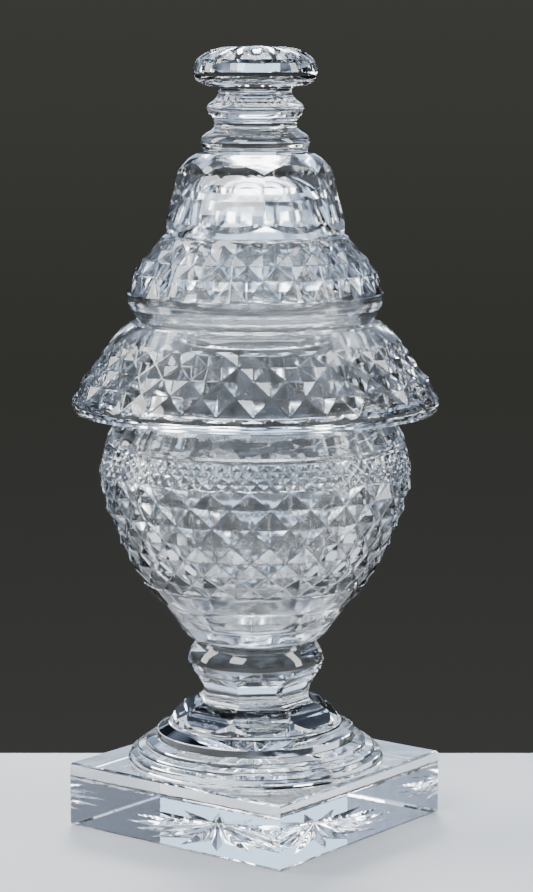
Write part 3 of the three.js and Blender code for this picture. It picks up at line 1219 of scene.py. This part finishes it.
@dataclass
class FinialKnob(CutPart):
    """The mushroom knob, with hollow petals cut from its middle to its edge."""

    node: str = "finial_knob"
    body: Body = Body.COVER
    slot: Slot = Slot.TURNED
    base: float = 266.8
    neck_radius: float = 13.2
    petals: int = 16
    turn: float = FRONT - 10.5
    petal_depth: float = 1.25
    petal_share: float = 0.3  # of a petal's half width that its depth may be
    run_out: int = 4  # places over which a petal deepens
    outline: tuple[tuple[float, float], ...] = (
        (17.0, 266.8),
        (18.2, 267.2),
        (19.6, 267.8),
        (20.6, 268.4),
        (21.3, 269.3),
        (21.8, 270.4),
        (22.1, 271.8),
        (21.9, 273.2),
        (21.4, 274.9),
        (20.6, 276.3),
        (19.2, 277.5),
        (17.8, 278.5),
        (16.2, 279.3),
        (13.8, 279.95),
        (11.0, 280.4),
        (8.0, 280.6),
        (5.0, 280.7),
        (2.5, 280.7),
        (0.8, 280.7),
    )
    first_cut: int = 8
    around: int = 160

    def petal(self, index: int, angle: float) -> tuple[float, float]:
        """Place of a point on a petal.

        Args:
            index: the number of the outline's place.
            angle: azimuth in degrees.

        Returns:
            Its radius and height in millimetres.
        """
        radius, height = self.outline[index]
        (r0, z0), (r1, z1) = self.outline[index - 1], self.outline[min(index + 1, len(self.outline) - 1)]
        normal = Vector((z1 - z0, r0 - r1)).normalized()
        share = (angle - self.turn) * self.petals / 360 % 1
        across = (2 * share - 1) ** 2
        reach = min(1.0, (index - self.first_cut) / self.run_out)
        half_width = math.pi * radius / self.petals
        depth = max(0.0, reach - across) * min(self.petal_depth, self.petal_share * half_width)
        return radius - normal.x * depth, height - normal.y * depth

    def shape(self, glass: GlassSection) -> None:
        """Builds the underside, the rounded edge and the petals up to the middle.

        Args:
            glass: the section that gets it.
        """
        layout = {"count": self.around, "turn": self.turn}
        glass.start(self.base, self.neck_radius, side=Side.JOINT, **layout)
        glass.turned(self.outline[: self.first_cut + 1], **layout)
        for index in range(self.first_cut + 1, len(self.outline)):
            glass.add(lambda angle, index=index: self.petal(index, angle), **layout)
        glass.cap(glass.last)


# ---------------------------------------------------------------- the studio


@dataclass(frozen=True)
class SoftLight:
    """A rectangular soft light aimed at the jar."""

    name: str
    place: tuple[float, float, float]
    size: tuple[float, float]
    power: float
    color: tuple[float, float, float] = (1.0, 1.0, 1.0)


@dataclass
class Studio:
    """The pale floor, the backdrop, the lights and the camera."""

    aim: tuple[float, float, float] = (0.0, 0.0, 0.15)
    table: tuple[float, float, float] = (0.62, 0.40, 0.02)
    table_shift: float = -0.1
    table_bevel: float = 0.004
    gap: float = 0.0003  # of air under the polished underside
    camera_place: tuple[float, float, float] = (0.6155, -0.7906, 0.2835)
    camera_pitch: float = 8.2575
    camera_heading: float = 37.676
    lens: float = 113.44
    nearest: float = 0.05
    bright_way: tuple[float, float, float] = (0.0, 0.0, 1.0)
    patch_scale: float = 2.6
    patches: tuple[float, float] = (0.1, 1.45)  # the dimmest and the brightest patch, times the grade
    patch_range: tuple[float, float] = (0.4, 0.6)  # of the noise, over which they change
    patch_rise: tuple[float, float] = (0.04, 0.16)  # height over the horizon where they fade in
    sensor: float = 36.0
    lights: tuple[SoftLight, ...] = field(
        default=(
            SoftLight("key_light", (0.05, -1.3, 1.05), (0.7, 0.7), 26.0, (0.98, 0.99, 1.0)),
            SoftLight("overhead_light", (-0.3, 0.3, 1.6), (1.1, 0.8), 30.0, (0.84, 0.92, 1.0)),
            SoftLight("left_light", (-1.3, -0.7, 0.9), (0.5, 1.5), 30.0, (1.0, 0.97, 0.92)),
            SoftLight("right_light", (1.2, 0.6, 0.7), (0.35, 1.2), 19.0),
            SoftLight("back_light", (-1.1, 1.3, 1.35), (0.6, 0.6), 36.0, (1.0, 0.98, 0.94)),
            SoftLight("low_panel", (-1.1, 1.3, 0.7), (0.9, 0.6), 3.2, (0.55, 0.76, 1.0)),
        )
    )

    def world(self) -> None:
        """Gives the world a soft grade, dark at the horizon and light above, with soft patches there."""
        world = bpy.data.worlds.new("studio_world")
        bpy.context.scene.world = world
        nodes = NodeTree(world)
        place = nodes.add("ShaderNodeTexCoord")
        tilt = nodes.add("ShaderNodeVectorMath", operation="DOT_PRODUCT")
        tilt.inputs[1].default_value = self.bright_way
        ramp = nodes.add("ShaderNodeValToRGB")
        elements = ramp.color_ramp.elements
        elements[0].position, elements[0].color = 0.0, (0.10, 0.105, 0.11, 1)
        elements[1].position, elements[1].color = 1.0, (0.85, 1.08, 1.5, 1)
        for position, color in (
            (0.44, (0.035, 0.036, 0.032, 1)),
            (0.512, (0.050, 0.050, 0.045, 1)),
            (0.545, (0.20, 0.23, 0.30, 1)),
            (0.62, (0.38, 0.46, 0.62, 1)),
            (0.75, (0.72, 0.90, 1.22, 1)),
        ):
            elements.new(position).color = color
        patches = nodes.add("ShaderNodeTexNoise", Scale=self.patch_scale, Detail=1.0)
        depth = nodes.add("ShaderNodeMapRange", To_Min=self.patches[0], To_Max=self.patches[1])
        depth.inputs["From Min"].default_value = self.patch_range[0]
        depth.inputs["From Max"].default_value = self.patch_range[1]
        nodes.link(place.outputs["Generated"], patches.inputs["Vector"])
        nodes.link(patches.outputs["Fac"], depth.inputs["Value"])
        rise = nodes.add("ShaderNodeMapRange")
        rise.inputs["From Min"].default_value = self.patch_rise[0]
        rise.inputs["From Max"].default_value = self.patch_rise[1]
        nodes.link(tilt.outputs["Value"], rise.inputs["Value"])
        strength = nodes.add("ShaderNodeMix")
        strength.inputs["A"].default_value = 1.0
        nodes.link(rise.outputs["Result"], strength.inputs["Factor"])
        nodes.link(depth.outputs["Result"], strength.inputs["B"])
        middle = nodes.add("ShaderNodeMapRange")
        middle.inputs["From Min"].default_value = -1.0
        background = nodes.add("ShaderNodeBackground")
        nodes.link(strength.outputs["Result"], background.inputs["Strength"])
        output = nodes.add("ShaderNodeOutputWorld")
        nodes.link(place.outputs["Generated"], tilt.inputs[0])
        nodes.link(tilt.outputs["Value"], middle.inputs["Value"])
        nodes.link(middle.outputs["Result"], ramp.inputs["Fac"])
        nodes.link(ramp.outputs["Color"], background.inputs["Color"])
        nodes.link(background.outputs["Background"], output.inputs["Surface"])

    def floor(self) -> None:
        """Lays the pale slab that the jar stands on."""
        slab = bmesh.new()
        made = bmesh.ops.create_cube(slab, size=1.0)
        bmesh.ops.scale(slab, vec=Vector(self.table), verts=made["verts"])
        bmesh.ops.bevel(
            slab,
            geom=slab.edges[:],
            offset=self.table_bevel,
            segments=3,
            profile=0.5,
            affect="EDGES",
            material=-1,
        )
        turn = Matrix.Rotation(math.radians(self.camera_heading), 4, "Z")
        place = Vector((0.0, self.table_shift, -self.gap - self.table[2] / 2))
        bmesh.ops.translate(slab, vec=place, verts=slab.verts)
        bmesh.ops.rotate(slab, matrix=turn, verts=slab.verts)
        mesh = bpy.data.meshes.new("floor")
        slab.to_mesh(mesh)
        slab.free()
        finish = StudioFinish("pale_floor", (0.37, 0.375, 0.38, 1), (0.44, 0.445, 0.45, 1))
        mesh.materials.append(finish.material())
        floor = bpy.data.objects.new("floor", mesh)
        bpy.context.scene.collection.objects.link(floor)

    def light(self, soft: SoftLight) -> None:
        """Sets up one soft light.

        Args:
            soft: the light.
        """
        lamp = bpy.data.lights.new(soft.name, "AREA")
        lamp.shape = "RECTANGLE"
        lamp.size, lamp.size_y = soft.size
        lamp.energy = soft.power
        lamp.color = soft.color
        made = bpy.data.objects.new(soft.name, lamp)
        made.location = soft.place
        away = Vector(self.aim) - Vector(soft.place)
        made.rotation_euler = away.to_track_quat("-Z", "Y").to_euler()
        made.visible_camera = False
        bpy.context.scene.collection.objects.link(made)

    def camera(self) -> None:
        """Sets up the camera."""
        data = bpy.data.cameras.new("camera")
        data.sensor_fit = "VERTICAL"
        data.sensor_height = self.sensor
        data.lens = self.lens
        data.clip_start = self.nearest
        made = bpy.data.objects.new("camera", data)
        made.location = self.camera_place
        made.rotation_euler = (math.radians(90 - self.camera_pitch), 0, math.radians(self.camera_heading))
        bpy.context.scene.collection.objects.link(made)
        bpy.context.scene.camera = made

    def build(self) -> None:
        """Sets up the whole studio."""
        self.world()
        self.floor()
        for soft in self.lights:
            self.light(soft)
        self.camera()


# ---------------------------------------------------------------- the whole


def main() -> None:
    """Builds the finishes, the sections of glass and the studio."""
    logging.basicConfig(level=logging.INFO, format="%(name)s: %(message)s")
    joint = JointFinish().material()
    finishes = {}
    for slot in Slot:
        outside = CrystalFinish(slot.value)
        inside = CrystalFinish(f"{slot.value}_inside", polish=INSIDE_POLISH)
        finishes[slot] = {
            Side.OUTSIDE: outside.material(),
            Side.JOINT: joint,
            Side.INSIDE: inside.material(),
        }
    parts: tuple[CutPart, ...] = (
        SquarePlinth(),
        SteppedFoot(),
        StemKnop(),
        Bowl(),
        TurnoverRim(),
        CoverDome(),
        FinialNeck(),
        FinialKnob(),
    )
    for part in parts:
        part.build(finishes)
    Studio().build()


if __name__ == "__main__":
    main()
